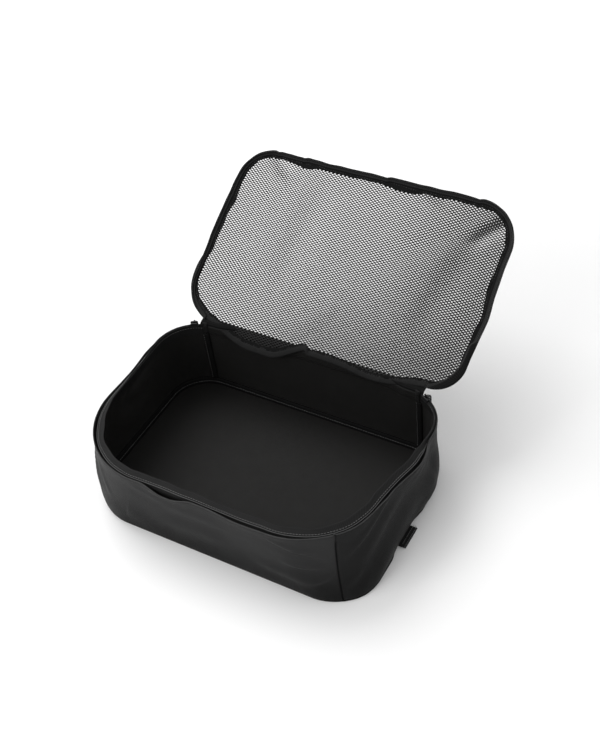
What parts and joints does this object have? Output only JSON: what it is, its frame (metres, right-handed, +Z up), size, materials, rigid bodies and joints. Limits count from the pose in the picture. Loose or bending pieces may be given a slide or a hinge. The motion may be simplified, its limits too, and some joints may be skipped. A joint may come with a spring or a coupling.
{
  "type": "packing cube",
  "caption": "Soft rectangular packing cube with rounded corners, a zip round three sides and a hinged see-through mesh lid, standing open.",
  "frame": {"origin": "middle of the underside of the base panel, on the surface that the cube stands on", "axes": "+Z up; +Y towards the hinge and the open lid; +X along the long walls, towards the wall with the tab"},
  "size_m": [0.3676, 0.4481, 0.2236],
  "materials": {
    "wall_fabric": "smooth matte black coated woven nylon",
    "lining_fabric": "plain black woven lining",
    "binding_tape": "black ribbed binding tape",
    "zip_tape": "black herringbone zip tape",
    "zip_coil": "black nylon coil",
    "lid_mesh": "open black warp-knit mesh with round holes",
    "tab_webbing": "dense black folded webbing",
    "slider_metal": "black lacquered die casting",
    "grip_rubber": "matte black moulded grip"
  },
  "bodies": {
    "tray": {"base_panel": "lining_fabric", "front_left_gusset": "wall_fabric", "right_gusset": "wall_fabric", "back_gusset": "wall_fabric", "back_hem": "wall_fabric", "rim_hem": "wall_fabric", "base_binding": "binding_tape", "front_right_seam_binding": "binding_tape", "back_right_seam_binding": "binding_tape", "back_left_seam_binding": "binding_tape", "zip_tape_lower": "zip_tape", "zip_coil_lower": "zip_coil", "zip_stop_right": "binding_tape", "zip_stop_left": "binding_tape"},
    "lid": {"lid_border": "wall_fabric", "lid_mesh": "lid_mesh", "zip_tape_upper": "zip_tape", "zip_coil_upper": "zip_coil", "lid_seam_binding": "binding_tape", "hinge_strip": "wall_fabric"},
    "slider_right": {"slider_right": "slider_metal"},
    "slider_left": {"slider_left": "slider_metal"},
    "pull_right": {"pull_link_right": "slider_metal", "pull_grip_right": "grip_rubber"},
    "pull_left": {"pull_link_left": "slider_metal", "pull_grip_left": "grip_rubber"},
    "side_tab": {"side_tab": "tab_webbing"}
  },
  "joints": [
    {"name": "lid_hinge", "type": "hinge", "parent": "tray", "child": "lid", "pos_m": [0, 0.12, 0.099], "axis": [1, 0, 0], "range_deg": [-53, 149]},
    {"name": "slider_right_travel", "type": "hinge", "parent": "tray", "child": "slider_right", "pos_m": [0.13, 0.07, 0.0963], "axis": [0, 0, -1], "range_deg": [0, 62]},
    {"name": "pull_right_swing", "type": "hinge", "parent": "slider_right", "child": "pull_right", "pos_m": [0.15481, 0.11666, 0.0963], "axis": [0.8829, -0.4695, 0], "range_deg": [0, 90]},
    {"name": "slider_left_travel", "type": "hinge", "parent": "tray", "child": "slider_left", "pos_m": [-0.13, 0.07, 0.0963], "axis": [0, 0, 1], "range_deg": [0, 62]},
    {"name": "pull_left_swing", "type": "hinge", "parent": "slider_left", "child": "pull_left", "pos_m": [-0.15481, 0.11666, 0.0963], "axis": [0.8829, 0.4695, 0], "range_deg": [0, 90]},
    {"name": "side_tab_fold", "type": "hinge", "parent": "tray", "child": "side_tab", "pos_m": [0.1816, -0.0035, 0.0014], "axis": [0, -1, 0], "range_deg": [0, 80]}
  ]
}
